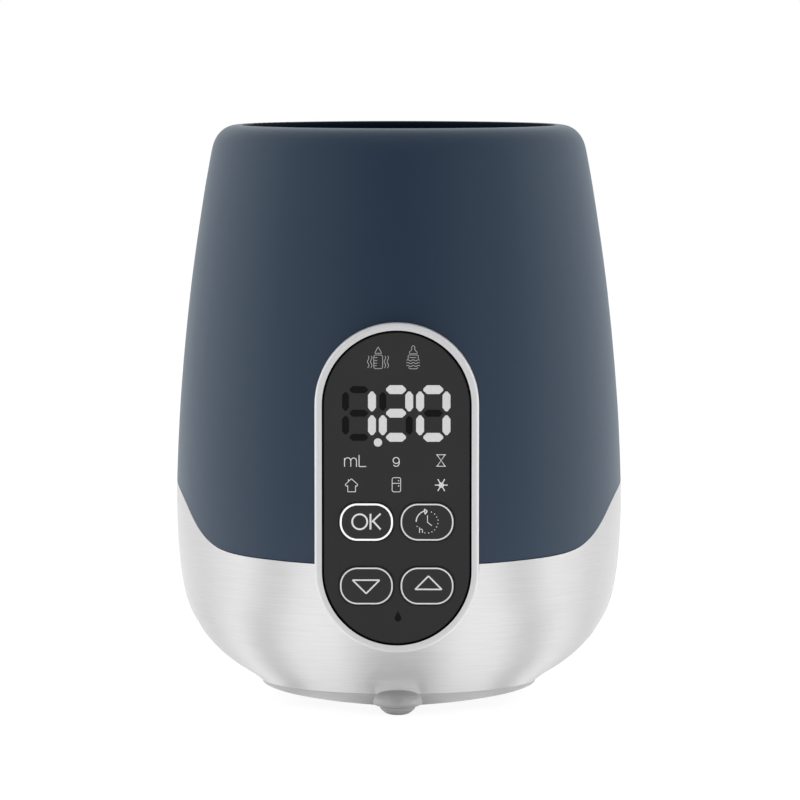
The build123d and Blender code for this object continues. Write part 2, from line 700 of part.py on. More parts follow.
def key_cap(x, z):
    """Soft-edged cap, retaining flange behind the lens, stem towards its switch."""
    cap = key_prism(x, z, 0, LENS_FRONT - 0.45, LENS_BACK)
    cap = fillet(cap.faces().sort_by(Axis.Y)[0].edges(), 0.4)
    cap = cap + key_prism(x, z, 0.65, LENS_BACK + 0.15, LENS_BACK + 1.0)
    cap = cap + key_prism(x, z, -0.5, LENS_BACK - 0.2, LENS_BACK + 0.6)
    return cap + rod_y(x, z, LENS_BACK + 0.9, -62.2, 2.0)


def display_module():
    """Block with a light well behind each bar."""
    module = block(-16.9, 16.9, LENS_BACK + FIT_GAP, PCB_FRONT - TOUCH_GAP, 77.6, 98.4)
    return module - union(digits(LENS_BACK - 1, LENS_BACK + 4.0, 0.12))


def control_pcb():
    front, back = PCB_FRONT - 1, PCB_BACK + 1
    board = pod_slot(38.6, PCB_FRONT, PCB_BACK)
    for x, z in BOSSES:
        board = board - rod_y(x, z, front, back, 2.9)
        board = board - boss_web(x, z, 2.4, front, back)
    return board


def tact_switches():
    half = 3.1
    return Compound([
        (block(x - half, x + half, -61.1, PCB_FRONT, z - half, z + half)
         + rod_y(x, z, -61.6, -61.0, 1.75)).solid()
        for x, z in KEYS.values()
    ])


def buzzer():
    return rod_y(0, 95.0, PCB_BACK, -53.55, 5.5) - rod_y(0, 95.0, -54.2, -53.0, 0.9)


def panel_chassis():
    """Back plate of the pod, with a slot for the ribbon cable and five narrow slots."""
    chassis = pod_slot(42.2, CHASSIS_FRONT, POD_BACK)
    chassis = cut_each(chassis, [rod_y(x, z, -54.0, -50.0, 1.35) for x, z in BOSSES])
    chassis = chassis - block(-5.6, 5.6, -54, -50, 33.4, 35.6)
    return cut_each(chassis, [prism_y(0, 62.0 + i * 5.0, SlotOverall(16.0, 1.8), -54, -50)
                              for i in range(5)])


def panel_screws():
    places = [Pos(x, POD_BACK + TOUCH_GAP, z) * Rot(90, 0, 0) for x, z in BOSSES]
    return screw_set(places, head_r=2.3, head_h=1.5, shank_r=1.1, length=8.5)


def ribbon_cable():
    """Flat cable from the control board back, down, back and down to the power board."""
    half = 5
    return (block(-half, half, PCB_BACK + TOUCH_GAP, -49.2, 34.1, 34.9)
            + block(-half, half, -50.0, -49.2, 17.0, 34.9)
            + block(-half, half, -50.0, -27.6, 17.0, 17.8)
            + block(-half, half, -28.4, -27.6, BOARD_TOP_Z + TOUCH_GAP, 17.8))


# ---------------------------------------------------------------------------
# Mains lead: grommet, cable lying in a coil behind the object, plug lying flat
# ---------------------------------------------------------------------------
CABLE_R = 2.8
COIL_X, COIL_Y, COIL_R = -19.0, 113.0, 21.5
COIL_START_Z = 3.4
COIL_PITCH = 6.0                   # rise per turn
COIL_START, COIL_STEP, COIL_STEPS = -22.0, 19.84, 51   # degrees, degrees, count
PLUG_X, PLUG_Z = 26.5, 7.4
PIN_DX = 9.3                       # plug centre to each pin

# Stations of the plug body: (y, width, height, corner radius)
PLUG_STATIONS = [
    (107.0, 9.0, 9.0, 3.0), (116.0, 15.0, 10.8, 3.5), (124.0, 26.0, 13.0, 4.5),
    (129.0, 29.0, 13.6, 5.0), (138.0, 30.0, 13.8, 5.0),
]


def cord_grommet():
    """Stepped sleeve: inner flange, body through the casing, ribbed tail."""
    y, rib_pitch, rib_length = 61.5, 2.7, 1.7
    # (radius, y)
    outline = [(0, 49.0), (6.3, 49.0), (6.3, 51.0), (5.35, 51.0), (5.35, y)]
    for i in range(4):
        rib_r = 5.3 - i * 0.35
        outline += [(rib_r, y), (rib_r, y + rib_length), (rib_r - 0.8, y + rib_length),
                    (rib_r - 0.8, y + rib_pitch)]
        y += rib_pitch
    outline += [(3.9, y), (3.9, y + 1.5), (0, y + 1.5)]
    points = [Vector(radius, along, GROMMET_Z) for radius, along in outline]
    face = Face(Wire.make_polygon(points, close=True))
    axis = Axis((0, 0, GROMMET_Z), (0, 1, 0))
    sleeve = Part() + Solid.revolve(face, 360, axis)
    return sleeve - rod_y(0, GROMMET_Z, 40, 90, CABLE_R + 0.08)


def power_cord():
    """Cable from inside the casing, through the grommet, round the coil to the plug."""
    inside = [(12.5, 21.5, 20.0), (12.3, 28.0, 20.6), (9.8, 36.0, 22.0), (4.2, 42.5, 23.5),
              (0.0, 48.5, GROMMET_Z)]
    outside = [(0.0, 74.2, GROMMET_Z), (0.1, 78.5, 22.6), (0.7, 82.6, 17.6),
               (1.5, 86.6, 10.6), (2.2, 92.0, 5.3), (2.0, 98.4, 3.5)]
    for i in range(COIL_STEPS + 1):
        x, y = polar(COIL_R, COIL_START + i * COIL_STEP)
        z = COIL_START_Z + COIL_PITCH * i * COIL_STEP / 360.0
        outside.append((COIL_X + x, COIL_Y + y, z))
    outside += [(-8.0, 91.4, 19.9), (3.0, 91.4, 18.2), (13.0, 92.2, 15.0), (21.5, 95.3, 10.8),
                (26.0, 101.0, 8.0), (PLUG_X, 106.0, PLUG_Z), (PLUG_X, 109.0, PLUG_Z)]

    def spline(points):
        ends = [Vector(0, 1, 0), Vector(0, 1, 0)]
        return Edge.make_spline([Vector(*point) for point in points], tangents=ends)

    through = Edge.make_line(Vector(*inside[-1]), Vector(*outside[0]))
    return round_sweep([spline(inside), through, spline(outside)], CABLE_R)


def plug_body():
    """Tapered body with a cable hole at the front and two pin holes at the back."""
    body = loft([
        Plane(origin=(PLUG_X, y, PLUG_Z), x_dir=(1, 0, 0), z_dir=(0, 1, 0))
        * RectangleRounded(width, height, corner_r)
        for y, width, height, corner_r in PLUG_STATIONS
    ])
    body = body - rod_y(PLUG_X, PLUG_Z, 100.0, 109.3, CABLE_R + 0.1)
    return cut_each(body, [rod_y(PLUG_X + side * PIN_DX, PLUG_Z, 132.0, 140.0, 2.05)
                           for side in (-1, 1)])


def plug_pins():
    pins = []
    for side in (-1, 1):
        pin = rod_y(PLUG_X + side * PIN_DX, PLUG_Z, 132.1, 157.0, 2.0)
        pins.append(fillet(pin.edges().sort_by(Axis.Y)[-1], 1.2).solid())
    return Compound(pins)


# ---------------------------------------------------------------------------
# Lift-out basket: perforated floor, slotted wall, lip, two finger tabs
# ---------------------------------------------------------------------------
BASKET_OUTER_R = 43.4
BASKET_INNER_R = 41.6
BASKET_FLOOR_Z = 50.5
BASKET_TOP_Z = 158.0
LIP_R, LIP_Z = 44.3, 156.3

# Floor holes: (circle radius, count, hole radius, first angle)
FLOOR_HOLES = [(10.0, 6, 2.4, 0), (26.5, 12, 2.6, 7.5), (35.5, 16, 2.6, 0)]
WALL_SLOTS = [(78.0, 38.0), (128.0, 28.0)]   # (centre height, length)


def wall_cutter(angle, z, sketch):
    """Sketch pushed outwards through the basket wall at an angle."""
    plane = Plane(origin=(40.0, 0, 0), x_dir=(0, 1, 0), z_dir=(1, 0, 0))
    return Rot(0, 0, angle) * extrude(plane * Pos(0, z) * sketch, amount=6.0)


def finger_tab(angle):
    """Curved tab, 36 degrees wide, with a slot through it."""
    tab = turned([(42.15, 157.0), (BASKET_OUTER_R, 157.0), (BASKET_OUTER_R, 164.6),
                  (43.1, 165.0), (42.4, 165.0), (42.15, 164.6)], 36)
    tab = Rot(0, 0, angle - 18) * tab
    return tab - wall_cutter(angle, 161.3, SlotOverall(16.0, 3.6))


def basket():
    floor_top = BASKET_FLOOR_Z + 1.8
    body = turned([
        (0, BASKET_FLOOR_Z), (BASKET_OUTER_R - 2.0, BASKET_FLOOR_Z),
        (BASKET_OUTER_R, BASKET_FLOOR_Z + 2.0), (BASKET_OUTER_R, LIP_Z), (LIP_R, LIP_Z),
        (LIP_R, BASKET_TOP_Z), (BASKET_INNER_R, BASKET_TOP_Z), (BASKET_INNER_R, floor_top),
        (0, floor_top),
    ])
    # four studs under the floor
    studs = rods_on_circle(18.0, (0, 90, 180, 270), 48.15, BASKET_FLOOR_Z + 0.5, 2.2)
    body = union([body] + studs)
    for circle_r, count, hole_r, first in FLOOR_HOLES:
        angles = [360.0 * i / count + first for i in range(count)]
        body = cut_each(body, rods_on_circle(circle_r, angles, 49, 54, hole_r))
    for angle in range(15, 360, 30):
        body = cut_each(body, [wall_cutter(angle, z, SlotOverall(length, 5.0, rotation=90))
                               for z, length in WALL_SLOTS])
    return body + finger_tab(0) + finger_tab(180)


# ---------------------------------------------------------------------------
# Files, each named after the function that builds it
# ---------------------------------------------------------------------------
PIECES = [
    upper_shell, lower_shell, shell_join_band, base_plate,
    tank_floor, tank, tank_gasket, tank_screws, base_screws,
    heater_plate, plate_seal, plate_clamp_ring, clamp_screws, heating_element,
    ntc_sensor, thermostat, thermal_fuse,
    power_pcb, pcb_screws, transformer, relay, capacitor, terminal_block, heater_leads,
    bezel_ring, panel_lens, lit_segments, unlit_segments, water_light, display_module,
    control_pcb, tact_switches, buzzer, panel_chassis, panel_screws, ribbon_cable,
    cord_grommet, power_cord, plug_body, plug_pins, basket,
]


def save(name, shape):
    export_step(shape, f"parts/{name}.step")


for build in PIECES:
    save(build.__name__, build())
for name, angle in FEET.items():
    save(name, foot(angle))
for name, (x, z) in KEYS.items():
    save(name, key_cap(x, z))
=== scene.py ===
"""Looks and stage for a round bottle warmer with a display panel.

The casing stands on the floor with its axis along Z. The panel faces -Y, towards the camera,
and +X is on the viewer's right. The pieces and the stage are in metres, the marks in millimetres.
"""
import math

import bpy
import bmesh
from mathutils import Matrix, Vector


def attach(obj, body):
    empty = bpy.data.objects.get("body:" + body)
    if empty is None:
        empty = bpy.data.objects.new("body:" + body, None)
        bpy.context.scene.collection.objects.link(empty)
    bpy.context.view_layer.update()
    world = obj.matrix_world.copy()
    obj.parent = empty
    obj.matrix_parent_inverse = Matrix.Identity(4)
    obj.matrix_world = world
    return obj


MM = 0.001
HOUSING = "housing"

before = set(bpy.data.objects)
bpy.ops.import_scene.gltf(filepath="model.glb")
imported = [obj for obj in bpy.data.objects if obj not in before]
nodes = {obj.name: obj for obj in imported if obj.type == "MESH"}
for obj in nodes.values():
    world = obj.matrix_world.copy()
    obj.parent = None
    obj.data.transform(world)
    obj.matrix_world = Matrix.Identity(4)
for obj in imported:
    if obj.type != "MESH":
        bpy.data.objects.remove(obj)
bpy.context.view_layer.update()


# ---------------------------------------------------------------------------
# Node helpers
# ---------------------------------------------------------------------------
class Graph:
    """Short calls that add nodes to one tree. A value is a plain number, a tuple or a socket."""

    def __init__(self, tree):
        self.tree = tree
        tree.nodes.clear()

    def feed(self, socket, value):
        """Links a socket to the input, or sets a plain value; colours may leave out alpha."""
        if isinstance(value, bpy.types.NodeSocket):
            self.tree.links.new(value, socket)
        elif socket.type == "RGBA" and len(value) == 3:
            socket.default_value = (*value, 1)
        else:
            socket.default_value = value

    def add(self, kind, inputs=None, **props):
        node = self.tree.nodes.new(kind)
        for key, value in props.items():
            setattr(node, key, value)
        for key, value in (inputs or {}).items():
            self.feed(node.inputs[key], value)
        return node

    def math(self, operation, *values):
        return self.add("ShaderNodeMath", dict(enumerate(values)), operation=operation).outputs[0]

    def product(self, first, *others):
        for other in others:
            first = self.math("MULTIPLY", first, other)
        return first

    def flip(self, value):
        return self.math("SUBTRACT", 1.0, value)

    def spread(self, value, to, span=(0.3, 0.7), kind="LINEAR"):
        """Maps the span of a value to another range. The default span suits a noise."""
        limits = {"From Min": span[0], "From Max": span[1], "To Min": to[0], "To Max": to[1]}
        node = self.add("ShaderNodeMapRange", {**limits, "Value": value}, interpolation_type=kind)
        return node.outputs["Result"]

    def ease(self, value, to, span):
        return self.spread(value, to, span, "SMOOTHSTEP")

    def axes(self, vector):
        return self.add("ShaderNodeSeparateXYZ", {0: vector}).outputs

    def azimuth(self, axes):
        """Angle about Z in radians, 0 towards -Y."""
        return self.math("ARCTAN2", axes["X"], self.product(axes["Y"], -1.0))


class Mat(Graph):
    """A principled material whose inputs are driven by procedural nodes."""

    def __init__(self, name):
        self.mat = bpy.data.materials.new(name)
        self.mat.use_nodes = True
        super().__init__(self.mat.node_tree)
        output = self.add("ShaderNodeOutputMaterial")
        self.bsdf = self.add("ShaderNodeBsdfPrincipled")
        self.feed(output.inputs["Surface"], self.bsdf.outputs["BSDF"])
        self.place = self.add("ShaderNodeTexCoord").outputs["Object"]

    def surface(self, **inputs):
        """Feeds the principled inputs, written with underscores for spaces."""
        for key, value in inputs.items():
            self.feed(self.bsdf.inputs[key.replace("_", " ")], value)
        return self.mat

    def noise(self, scale, detail=2.0, rough=0.55, vector=None):
        inputs = {"Scale": scale, "Detail": detail, "Roughness": rough,
                  "Vector": vector or self.place}
        return self.add("ShaderNodeTexNoise", inputs).outputs["Fac"]

    def mix(self, factor, first, second):
        # inputs 6 and 7 and output 2 are the colour sockets of this node
        inputs = {"Factor": factor, 6: first, 7: second}
        return self.add("ShaderNodeMix", inputs, data_type="RGBA").outputs[2]

    def tint(self, noise, dark, light, to=(0.0, 1.0), span=(0.3, 0.7)):
        return self.mix(self.spread(noise, to, span), dark, light)

    def bump(self, height, strength, distance):
        inputs = {"Strength": strength, "Distance": distance, "Height": height}
        return self.add("ShaderNodeBump", inputs).outputs["Normal"]

    def wrap_coords(self, around, up, radial=0.0):
        """Angle about Z, height and radius, each times a scale."""
        axes = self.axes(self.place)
        angle = self.azimuth(axes)
        squares = [self.product(axes[key], axes[key]) for key in "XY"]
        radius = self.math("SQRT", self.math("ADD", *squares))
        return self.add("ShaderNodeCombineXYZ", {
            "X": self.product(angle, around),
            "Y": self.product(axes["Z"], up),
            "Z": self.product(radius, radial),
        }).outputs[0]


def scaled(colour, factor):
    return tuple(min(1.0, value * factor) for value in colour)


def grey(value):
    return (value,) * 3


# ---------------------------------------------------------------------------
# Materials
# ---------------------------------------------------------------------------
def plastic(name, colour, rough=0.45, grain=2600.0, bump=0.06, vary=0.08, spec=0.5,
            painted_reflection_glow=None, **extra):
    """Moulded plastic: fine grain, slight colour and gloss variation.

    mirrored is a painted glow that only glossy rays see: it lifts the part's reflection in the
    casing with painted light.
    """
    m = Mat(name)
    cloud = m.noise(45.0)
    fine = m.noise(grain)
    if painted_reflection_glow is not None:
        # painted glow, seen only by glossy rays: painted light in the part's reflection
        glossy = m.add("ShaderNodeLightPath").outputs["Is Glossy Ray"]
        m.surface(Emission_Strength=m.product(glossy, painted_reflection_glow), Emission_Color=grey(1))
    return m.surface(
        Base_Color=m.tint(cloud, scaled(colour, 1 - vary), scaled(colour, 1 + vary)),
        Roughness=m.spread(fine, to=(rough - 0.05, rough + 0.06)),
        Normal=m.bump(fine, strength=bump, distance=0.00012),
        Specular_IOR_Level=spec, **extra)


def rubber(name, colour):
    return plastic(name, colour, rough=0.62, grain=1800.0, bump=0.12, vary=0.06, spec=0.3)


def metal(name, colour, rough, lines, bump=0.1, anisotropic=0.0):
    """Metal with brush or turning lines. lines: their scales around Z, up Z and along the radius."""
    m = Mat(name)
    streaks = m.noise(1.0, detail=3.0, rough=0.6, vector=m.wrap_coords(*lines))
    wear = m.noise(60.0, detail=3.0)
    gloss = m.spread(streaks, to=(rough - 0.06, rough + 0.08))
    return m.surface(
        Base_Color=m.tint(streaks, scaled(colour, 0.9), colour),
        Roughness=m.math("ADD", gloss, m.spread(wear, to=(-0.03, 0.03))),
        Normal=m.bump(streaks, strength=bump, distance=0.00005),
        Metallic=1.0, Anisotropic=anisotropic)


def navy():
    """Soft-touch coat of the upper shell: speckled, clouded, with a faint cool sheen."""
    m = Mat("navy_soft_touch")
    speck = m.noise(5200.0, detail=1.0)
    cloud = m.noise(14.0)
    speckled = m.tint(speck, (0.0024, 0.0160, 0.0405), (0.0038, 0.0194, 0.0460))
    clouded = m.tint(cloud, speckled, (0.0031, 0.0177, 0.0432), to=(0.0, 0.35), span=(0.35, 0.65))
    return m.surface(
        Base_Color=clouded,
        Roughness=m.spread(speck, to=(0.42, 0.50)),
        Normal=m.bump(speck, strength=0.10, distance=0.00006),
        Specular_IOR_Level=0.36,
        Sheen_Weight=0.228, Sheen_Roughness=0.50, Sheen_Tint=(0.77, 0.92, 1.0))


def silver():
    """Brushed lower shell: two sets of lines running round the axis."""
    m = Mat("brushed_silver")
    fine = m.noise(1.0, detail=4.0, rough=0.62, vector=m.wrap_coords(around=4.2, up=5200.0))
    coarse = m.noise(1.0, detail=2.0, rough=0.5, vector=m.wrap_coords(around=3.0, up=2100.0))
    lines = m.math("ADD", m.product(fine, 0.6), m.product(coarse, 0.4))
    return m.surface(
        Base_Color=m.tint(lines, (0.572, 0.565, 0.569), (0.632, 0.625, 0.629), span=(0.38, 0.62)),
        Roughness=m.spread(lines, to=(0.32, 0.38), span=(0.35, 0.65)),
        Normal=m.bump(lines, strength=0.09, distance=0.00003),
        Metallic=0.85, Anisotropic=0.8, Anisotropic_Rotation=0.25,
        Tangent=m.add("ShaderNodeTangent", direction_type="RADIAL", axis="Z").outputs[0])


def bezel():
    m = Mat("satin_silver")
    fine = m.noise(3800.0)
    return m.surface(
        Base_Color=m.tint(fine, (0.625, 0.625, 0.635), (0.675, 0.675, 0.685)),
        Roughness=m.spread(fine, to=(0.34, 0.42)),
        Normal=m.bump(fine, strength=0.05, distance=0.00004),
        Metallic=0.25)


def glow(name, colour, strength, vary):
    """Lit surface, its colour and strength falling by up to the share vary."""
    m = Mat(name)
    fine = m.noise(900.0)
    return m.surface(
        Base_Color=m.tint(fine, scaled(colour, 1 - vary), colour),
        Emission_Strength=m.spread(fine, to=(strength * (1 - vary), strength)),
        Emission_Color=colour, Roughness=0.5)


def board():
    """Solder mask with tracks showing through as a faint grid."""
    m = Mat("board_green")
    brick = m.add("ShaderNodeTexBrick", {
        "Scale": 160.0, "Mortar Size": 0.03, "Vector": m.place,
        "Color1": (0.015, 0.16, 0.07), "Color2": (0.018, 0.20, 0.085), "Mortar": (0.05, 0.34, 0.16),
    }).outputs
    return m.surface(
        Base_Color=brick["Color"],
        Normal=m.bump(brick["Fac"], strength=0.3, distance=0.00005),
        Roughness=0.3)


mats = {
    "navy": navy(),
    "silver": silver(),
    "bezel": bezel(),
    "lens": plastic("lens_black", grey(0.0202), rough=0.55, grain=5200.0, bump=0.04,
                    vary=0.03, spec=0.25),
    "key": plastic("key_black", (0.0208, 0.0208, 0.0211), rough=0.50, grain=4200.0, bump=0.05,
                   vary=0.03, spec=0.27),
    "lit": glow("display_lit", (0.46, 0.46, 0.465), strength=0.45, vary=0.06),
    "dark": plastic("display_dark", grey(0.0030), rough=0.45, grain=4000.0, bump=0.02,
                    vary=0.05, spec=0.12),
    "print_white": glow("print_white", grey(0.82), strength=0.40, vary=0.02),
    "print_soft": glow("print_soft", grey(0.52), strength=0.40, vary=0.02),
    "print_grey": glow("print_grey", grey(0.60), strength=0.18, vary=0.03),
    "print_mid": glow("print_mid", grey(0.60), strength=0.20, vary=0.03),
    "print_dim": glow("print_dim", grey(0.34), strength=0.10, vary=0.03),
    # base and feet carry a painted glow seen only in reflections, brightening them in the silver
    # shell
    "base": plastic("base_grey", (0.405, 0.405, 0.407), rough=0.38, bump=0.05, vary=0.04,
                    painted_reflection_glow=0.60, Metallic=0.25),
    "foot": plastic("foot_grey", (0.385, 0.385, 0.388), grain=2000.0, bump=0.08, vary=0.05,
                    painted_reflection_glow=0.46, Metallic=0.15),
    "tank": plastic("tank_plastic", (0.055, 0.066, 0.085), rough=0.38, grain=2200.0, bump=0.05),
    "inner": plastic("inner_plastic", (0.12, 0.125, 0.135), rough=0.5),
    "silicone": plastic("silicone", (0.62, 0.62, 0.58), rough=0.55, grain=1500.0, bump=0.05),
    "screw": metal("screw_steel", grey(0.62), rough=0.32, lines=(40.0, 400.0, 3000.0)),
    "plate": metal("plate_aluminium", (0.78, 0.78, 0.79), rough=0.28, lines=(3.0, 0.0, 5200.0),
                   bump=0.2, anisotropic=0.4),
    "clamp": metal("clamp_steel", (0.60, 0.60, 0.61), rough=0.35, lines=(8.0, 900.0, 900.0)),
    "element": metal("element_steel", (0.36, 0.33, 0.30), rough=0.42, lines=(12.0, 500.0, 500.0)),
    "sensor": metal("sensor_steel", (0.66, 0.66, 0.64), rough=0.3, lines=(20.0, 900.0, 300.0)),
    "ceramic": plastic("fuse_ceramic", (0.78, 0.76, 0.70), rough=0.3, grain=900.0, bump=0.03),
    "board": board(),
    "relay": plastic("relay_blue", (0.03, 0.08, 0.30), rough=0.35),
    "trafo": plastic("transformer_yellow", (0.62, 0.43, 0.07), rough=0.4, grain=700.0, bump=0.1),
    "cap": plastic("capacitor_black", (0.02, 0.02, 0.024), rough=0.25),
    "term": plastic("terminal_white", (0.70, 0.70, 0.68), rough=0.4),
    "lead": rubber("lead_red", (0.42, 0.03, 0.025)),
    "black": plastic("module_black", grey(0.012), rough=0.5),
    "ribbon": plastic("ribbon_grey", (0.42, 0.42, 0.43), rough=0.4),
    "cord": rubber("cord_rubber", (0.020, 0.022, 0.026)),
    "pin": metal("pin_brass", (0.72, 0.70, 0.66), rough=0.22, lines=(30.0, 200.0, 200.0),
                 bump=0.05),
    "basket": plastic("basket_plastic", (0.60, 0.62, 0.64), rough=0.42, grain=1500.0, vary=0.03,
                      Subsurface_Weight=0.15, Subsurface_Radius=grey(0.004)),
}
PARTS = {
    "navy": "upper_shell", "silver": "lower_shell", "bezel": "bezel_ring", "lens": "panel_lens",
    "key": "ok_key timer_key down_key up_key",
    "lit": "lit_segments", "dark": "unlit_segments water_light",
    "black": "display_module tact_switches buzzer",
    "base": "base_plate", "foot": "foot_front foot_rear_left foot_rear_right",
    "tank": "tank tank_floor", "silicone": "tank_gasket plate_seal",
    "screw": "tank_screws base_screws clamp_screws pcb_screws panel_screws",
    "plate": "heater_plate", "clamp": "plate_clamp_ring", "element": "heating_element",
    "sensor": "ntc_sensor thermostat", "ceramic": "thermal_fuse",
    "board": "power_pcb control_pcb", "relay": "relay", "trafo": "transformer",
    "cap": "capacitor", "term": "terminal_block", "lead": "heater_leads",
    "inner": "panel_chassis shell_join_band", "ribbon": "ribbon_cable",
    "cord": "cord_grommet power_cord plug_body", "pin": "plug_pins", "basket": "basket",
}
finish_of = {part: finish for finish, parts in PARTS.items() for part in parts.split()}
for name, part in nodes.items():
    part.data.materials.clear()
    part.data.materials.append(mats[finish_of[name]])


# ---------------------------------------------------------------------------
# Faces with a second material
# ---------------------------------------------------------------------------
COLLAR_R, COLLAR_Z = 0.04585, 0.150       # the collar lies within this radius, above this height
BEZEL_Z = 0.06755                         # middle height of the bezel opening
BEZEL_HALF_STRAIGHT = 0.02345             # half the straight length of its sides
BEZEL_WALL_R = 0.02125                    # the wall lies within this distance of the middle line
BEZEL_WALL_Y = -0.06595                   # and behind this plane


def in_collar(centre):
    return math.hypot(centre.x, centre.y) < COLLAR_R and centre.z > COLLAR_Z


def in_bezel_wall(centre):
    past_straight = max(abs(centre.z - BEZEL_Z) - BEZEL_HALF_STRAIGHT, 0.0)
    return math.hypot(centre.x, past_straight) < BEZEL_WALL_R and centre.y > BEZEL_WALL_Y


def repaint(part, material, chosen):
    mesh = nodes[part].data
    mesh.materials.append(material)
    for face in mesh.polygons:
        if chosen(face.center):
            face.material_index = 1


# The collar inside the rim gets a near-black material: painted shade standing in for the shade
# inside the well
repaint("upper_shell",
        plastic("rim_inside_painted_shade", (0.0014, 0.0052, 0.0112), rough=0.65, grain=2200.0, bump=0.05,
                spec=0.05),
        in_collar)
# The wall of the bezel behind its front edge is a black seal against the lens
repaint("bezel_ring", plastic("lens_seal", grey(0.004), rough=0.7, spec=0.05), in_bezel_wall)

# ---------------------------------------------------------------------------
# Printed and lit marks, in mm. A path is its (x, z) points and whether it is closed.
# ---------------------------------------------------------------------------
LENS_Y = -65.70
KEY_Y = -66.15
OUTLINE_Y = KEY_Y + 0.02
LENS_RELIEF = 0.04      # half thickness of the strokes on the lens
KEY_RELIEF = 0.05       # half thickness of the strokes on the keys
STUD_SIDES = 14
STUD_HEIGHT = 0.05
STUD_PROFILE = ((1.0, 0.0), (1.0, 0.6), (0.72, 0.9))    # share of the radius, of the height


def mount(name, mesh, material, body):
    mesh.materials.append(material)
    mark = bpy.data.objects.new(name, mesh)
    bpy.context.scene.collection.objects.link(mark)
    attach(mark, body)


def strokes(name, paths, width, y, material, body, relief):
    """Turns each path into a round tube, flattened along Y and half sunk in the face."""
    curve = bpy.data.curves.new(name, "CURVE")
    curve.dimensions = "3D"
    curve.bevel_depth = width / 2 * MM
    curve.bevel_resolution = 3
    curve.use_fill_caps = True
    for points, closed in paths:
        spline = curve.splines.new("POLY")
        spline.points.add(len(points) - 1)
        for point, (x, z) in zip(spline.points, points):
            point.co = (x * MM, 0.0, z * MM, 1.0)
        spline.use_cyclic_u = closed
    tubes = bpy.data.objects.new(name + "_tmp", curve)
    bpy.context.scene.collection.objects.link(tubes)
    depsgraph = bpy.context.evaluated_depsgraph_get()
    depsgraph.update()
    mesh = bpy.data.meshes.new_from_object(tubes.evaluated_get(depsgraph))
    bpy.data.objects.remove(tubes)
    flatten = relief / (width / 2)
    for vertex in mesh.vertices:
        vertex.co.y = y * MM + vertex.co.y * flatten
    for face in mesh.polygons:
        face.use_smooth = True
    mount(name, mesh, material, body)


def studs(name, centres, radius, y, material, body):
    """Small low domes, one mesh."""
    bm = bmesh.new()
    turns = [2 * math.pi * i / STUD_SIDES for i in range(STUD_SIDES)]
    for x, z in centres:
        rings = [[bm.verts.new(((x + radius * share * math.cos(turn)) * MM,
                                (y - STUD_HEIGHT * rise) * MM,
                                (z + radius * share * math.sin(turn)) * MM))
                  for turn in turns] for share, rise in STUD_PROFILE]
        top = bm.verts.new((x * MM, (y - STUD_HEIGHT) * MM, z * MM))
        bm.faces.new(rings[0])
        for low, high in zip(rings, rings[1:]):
            for i in range(STUD_SIDES):
                j = (i + 1) % STUD_SIDES
                bm.faces.new((low[i], low[j], high[j], high[i]))
        for i in range(STUD_SIDES):
            bm.faces.new((rings[-1][i], rings[-1][(i + 1) % STUD_SIDES], top))
    bmesh.ops.recalc_face_normals(bm, faces=bm.faces)
    mesh = bpy.data.meshes.new(name)
    bm.to_mesh(mesh)
    bm.free()
    mount(name, mesh, material, body)


def key_mark(key, mark, paths, width, finish, y=KEY_Y):
    strokes(f"{key}_{mark}", paths, width, y, mats[finish], key + "_body", KEY_RELIEF)


def lens_mark(name, paths, width, finish="print_mid"):
    strokes(name, paths, width, LENS_Y, mats[finish], HOUSING, LENS_RELIEF)


def line(*points):
    return list(points), False


def arc(x, z, radius, start, end, steps=14):
    """Points on an arc, angles in degrees from +X towards +Z."""
    angles = [math.radians(start + (end - start) * i / steps) for i in range(steps + 1)]
    return [(x + radius * math.cos(angle), z + radius * math.sin(angle)) for angle in angles]


def ring(x, z, radius, steps):
    return arc(x, z, radius, 0, 360, steps)[:-1], True


def rounded(x, z, width, height, radius, steps):
    """Rectangle about (x, z) with round corners."""
    points = []
    for side_x, side_z, start in ((1, 1, 0), (-1, 1, 90), (-1, -1, 180), (1, -1, 270)):
        points += arc(x + side_x * (width / 2 - radius), z + side_z * (height / 2 - radius),
                      radius, start, start + 90, steps)
    return points, True


def round_corners(corners, cut, closed=True, steps=5):
    """Polygon whose corners are eased by a curve that starts at the distance cut."""
    points = []
    count = len(corners)
    for i in range(count):
        corner = Vector(corners[i])
        if not closed and i in (0, count - 1):
            points.append(tuple(corner))
            continue
        before, after = Vector(corners[i - 1]), Vector(corners[(i + 1) % count])
        start = corner + (before - corner).normalized() * cut
        end = corner + (after - corner).normalized() * cut
        for k in range(steps + 1):
            t = k / steps
            points.append(tuple(start * (1 - t) ** 2 + corner * 2 * t * (1 - t) + end * t ** 2))
    return points, closed


def wave(start, end, level, swing, periods, upright=False, steps=28):
    """Sine line along X at the height level, or upright along Z at x = level."""
    points = []
    for i in range(steps + 1):
        t = i / steps
        along = start + (end - start) * t
        across = level + swing * math.sin(2 * math.pi * periods * t)
        points.append((across, along) if upright else (along, across))
    return points, False


# Key outlines: two columns, two rows
KEY_X, UPPER_Z, LOWER_Z = 8.56, 58.0, 39.9
KEYS = {"ok_key": (-KEY_X, UPPER_Z), "timer_key": (KEY_X, UPPER_Z),
        "down_key": (-KEY_X, LOWER_Z), "up_key": (KEY_X, LOWER_Z)}
for key, (x, z) in KEYS.items():
    width, finish = (0.56, "print_white") if key == "ok_key" else (0.44, "print_grey")
    key_mark(key, "outline", [rounded(x, z, width=14.45, height=10.0, radius=4.70, steps=16)],
             width, finish, OUTLINE_Y)

# The letters O and K
key_mark("ok_key", "letters", [
    ring(-10.43, 58.1, radius=2.12, steps=36),
    line((-7.40, 60.35), (-7.40, 55.90)),
    line((-4.55, 60.40), (-7.00, 58.05)),
    line((-6.70, 58.32), (-4.55, 55.95)),
], width=0.52, finish="print_soft")

